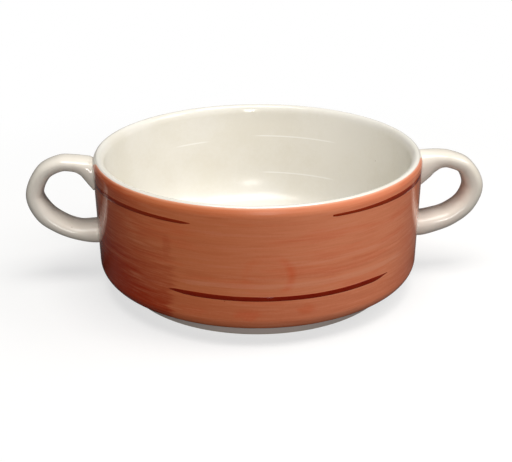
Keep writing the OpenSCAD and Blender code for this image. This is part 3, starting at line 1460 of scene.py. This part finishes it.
LEFT_LOOP = (
    (54.4, 37.15, 10.5), (56.2, 39.1, 7.7), (57.9, 40.25, 5.8), (60.6, 41.0, 4.9),
    (65.2, 41.0, 4.9), (70.7, 38.0, 5.3), (74.05, 30.75, 5.7), (71.5, 24.15, 6.2),
    (66.4, 19.95, 5.6), (60.6, 17.55, 5.6), (54.4, 17.0, 6.9),
)
RIGHT_LOOP = (
    (54.4, 36.85, 11.8), (56.4, 38.1, 9.7), (58.3, 39.2, 7.6), (61.2, 40.0, 5.8),
    (64.8, 39.6, 5.3), (69.8, 37.1, 5.6), (72.8, 30.8, 6.7), (70.65, 24.4, 6.4),
    (65.5, 20.15, 6.4), (60.1, 18.1, 7.0), (54.4, 17.05, 7.5),
)
LOWER_COURSE = (
    (-32.4, 16.64, 0.1), (-31.2, 16.64, 0.62), (-29.6, 16.64, 1.05), (-27.2, 16.58, 1.3),
    (-23.0, 16.54, 1.5), (-15.0, 16.46, 1.48), (-5.0, 16.36, 1.44), (5.0, 16.28, 1.4),
    (17.0, 16.2, 1.42), (26.0, 16.22, 1.46), (34.0, 16.26, 1.54), (38.5, 16.2, 1.46),
    (41.0, 16.28, 1.02), (43.2, 16.42, 0.5), (45.0, 16.52, 0.1),
)
LEFT_COURSE = (
    (-90.0, 38.3, 1.5), (-70.0, 38.6, 1.5), (-60.0, 38.86, 1.44), (-52.0, 38.98, 1.3),
    (-44.0, 39.05, 1.18), (-36.0, 39.05, 1.08), (-29.5, 39.0, 1.0), (-26.6, 38.98, 0.8),
    (-24.9, 39.0, 0.5), (-23.9, 39.02, 0.1),
)
RIGHT_COURSE = (
    (20.6, 40.9, 0.5), (22.0, 40.87, 0.78), (27.0, 40.84, 0.84), (31.0, 40.82, 0.93),
    (36.0, 40.86, 1.08), (41.0, 40.84, 1.22), (46.0, 40.84, 1.35), (54.0, 40.8, 1.44),
    (66.0, 40.8, 1.5), (90.0, 40.8, 1.5),
)


def wrapped(course: Sequence[Triple], side: Side) -> list[Triple]:
    """Continues a stroke that ends at a handle to the same place at the back.

    Args:
        course: The stroke's course on the front.
        side: The side of that handle.

    Returns:
        The whole course, in the order of the azimuths.
    """
    back = [(180.0 * side.value - a, z, w) for a, z, w in reversed(course)]
    if side is Side.LEFT:
        return [*back[:-1], *course]
    return [*course, *back[1:]]


def turned_round(course: Sequence[Triple]) -> list[Triple]:
    """Moves a stroke to the back of the bowl."""
    return [(a + 180.0, z, w) for a, z, w in course]


# Studio


@dataclass
class PhotoCamera:
    """The camera that took the picture, worked out from the bowl's outline."""

    distance: float = 328.3 * MM
    elevation: float = 22.0
    heading: float = 2.89
    roll: float = 0.24
    aim_height: float = 22.44 * MM
    aim_px: Point = (257.7, 211.0)
    focal_px: float = 967.5
    image: Point = (512, 462)
    sensor: float = 36.0
    clip: Point = (0.01, 20.0)

    def build(self) -> Object:
        """Sets up the camera and makes it the scene's.

        Returns:
            The camera.
        """
        rise, side = math.radians(self.elevation), math.radians(self.heading)
        level = math.cos(rise)
        up = Vector((0.0, 0.0, 1.0))
        back = Vector((-level * math.sin(side), -level * math.cos(side), math.sin(rise)))
        right = up.cross(back).normalized()
        basis = Matrix((right, back.cross(right), back)).transposed()
        across = (self.aim_px[0] - self.image[0] / 2) / self.focal_px
        above = (self.image[1] / 2 - self.aim_px[1]) / self.focal_px
        swing = (-up).rotation_difference(Vector((across, above, -1.0))).to_matrix().inverted()
        turn = Matrix.Rotation(math.radians(-self.roll), 3, "Z")
        data = bpy.data.cameras.new("photo_camera")
        data.sensor_width = self.sensor
        data.sensor_fit = "HORIZONTAL"
        data.lens = self.focal_px * self.sensor / self.image[0]
        data.clip_start, data.clip_end = self.clip
        made = shown("photo_camera", data)
        place = up * self.aim_height + back * self.distance
        made.matrix_world = Matrix.Translation(place) @ (basis @ swing @ turn).to_4x4()
        bpy.context.scene.camera = made
        return made


@dataclass
class Lamp:
    """A soft rectangular lamp that points at the middle of the bowl."""

    name: str
    place: Place
    size: Point
    power: float
    tint: Triple = (1.0, 0.985, 0.95)
    target: Place = (0.0, 0.0, 0.02)

    def build(self) -> Object:
        """Adds the lamp to the scene.

        Returns:
            The lamp.
        """
        data = bpy.data.lights.new(self.name, "AREA")
        data.shape = "RECTANGLE"
        data.size, data.size_y = self.size
        data.energy = self.power
        data.color = self.tint
        made = shown(self.name, data)
        made.location = self.place
        made.rotation_mode = "QUATERNION"
        way = Vector(self.target) - Vector(self.place)
        made.rotation_quaternion = way.to_track_quat("-Z", "Y")
        return made


@dataclass
class Studio:
    """A pale floor, soft lamps and an even sky."""

    floor_half: float = 4.0
    floor_grey: float = 0.11
    floor_seen: float = 0.95
    shadow_share: float = 0.35
    shadow_near: float = 60.0 * MM
    shadow_far: float = 230.0 * MM
    sky: float = 0.08
    lamps: tuple[Lamp, ...] = (
        Lamp("overhead_softbox", (0.05, -0.13, 0.76), (0.6, 0.4), 5.0),
        Lamp("right_softbox", (0.53, -0.06, 0.55), (0.34, 0.34), 1.9),
        Lamp("front_window", (0.06, -1.08, 0.36), (0.16, 0.5), 3.8, (1.0, 0.985, 0.96)),
    )

    def floor_finish(self) -> Material:
        """Makes a floor that shows white to the camera but keeps the shadow.

        Returns:
            The material.
        """
        material = bpy.data.materials.new("pale_floor")
        material.use_nodes = True
        book = Book(material.node_tree)
        book.tree.nodes.clear()
        seen = book.number("ShaderNodeLightPath", output="Is Camera Ray")
        grey, white = ((tone, tone, tone, 1.0) for tone in (self.floor_grey, self.floor_seen))
        matt = book.socket("ShaderNodeBsdfDiffuse", {"Color": book.blend(seen, grey, white)})
        glow = book.socket("ShaderNodeEmission", {"Strength": 1.0})
        where = book.socket("ShaderNodeTexCoord", None, "Object")
        away = book.number("ShaderNodeVectorMath", {0: where}, "Value", operation="LENGTH")
        kept = away.ramp(self.shadow_near, self.shadow_far, self.shadow_share, 0.0)
        both = book.socket("ShaderNodeMixShader", {0: seen * (1.0 - kept), 1: matt, 2: glow})
        book.node("ShaderNodeOutputMaterial", {0: both})
        return material

    def floor(self) -> Object:
        """Lays the floor.

        Returns:
            The floor, which is only for the picture.
        """
        half = self.floor_half
        mesh = bpy.data.meshes.new("pale_floor")
        corners = [(-half, -half, 0.0), (half, -half, 0.0), (half, half, 0.0), (-half, half, 0.0)]
        mesh.from_pydata(corners, [], [(0, 1, 2, 3)])
        mesh.materials.append(self.floor_finish())
        made = shown("pale_floor", mesh)
        return made

    def sky_light(self) -> None:
        """Makes the world an even grey light that the camera sees as white."""
        world = bpy.data.worlds.new("studio_sky")
        bpy.context.scene.world = world
        world.use_nodes = True
        book = Book(world.node_tree)
        book.tree.nodes.clear()
        seen = book.number("ShaderNodeLightPath", output="Is Camera Ray")
        values = {"Color": (1.0, 1.0, 1.0, 1.0), "Strength": seen * (1.0 - self.sky) + self.sky}
        book.node("ShaderNodeOutputWorld", {0: book.socket("ShaderNodeBackground", values)})

    def build(self) -> None:
        """Sets up the whole studio."""
        self.floor()
        self.sky_light()
        for lamp in self.lamps:
            lamp.build()
        bpy.context.scene.view_settings.view_transform = "Standard"


def main() -> None:
    """Builds and dresses every piece, then the studio and the camera."""
    warmer = WhiteGlaze("handle_glaze", colour(238, 232, 222), colour(234, 226, 214), ripple=0.1)
    finishes = Finishes(
        WhiteGlaze().make(), warmer.make(), TerracottaWash().make(), DarkStroke().make()
    )
    loop = loop_tree()
    bowl = Bowl()
    pieces = bowl.build(wheel_tree(), finishes)
    for side, course in ((Side.LEFT, LEFT_LOOP), (Side.RIGHT, RIGHT_LOOP)):
        pieces += LoopHandle(side, bowl, course).build(loop, finishes)
    for name, node, course in (
        ("front_brush_stroke", "front_stroke", LOWER_COURSE),
        ("back_brush_stroke", "back_stroke", turned_round(LOWER_COURSE)),
        ("left_brush_stroke", "left_lip_stroke", wrapped(LEFT_COURSE, Side.LEFT)),
        ("right_brush_stroke", "right_lip_stroke", wrapped(RIGHT_COURSE, Side.RIGHT)),
    ):
        pieces.append(BrushStroke(name, node, bowl, course).build(finishes))
    for piece in pieces:
        LOG.info("%s: %d faces", piece.name, len(piece.data.polygons))
    Studio().build()
    PhotoCamera().build()


if __name__ == "__main__":
    main()
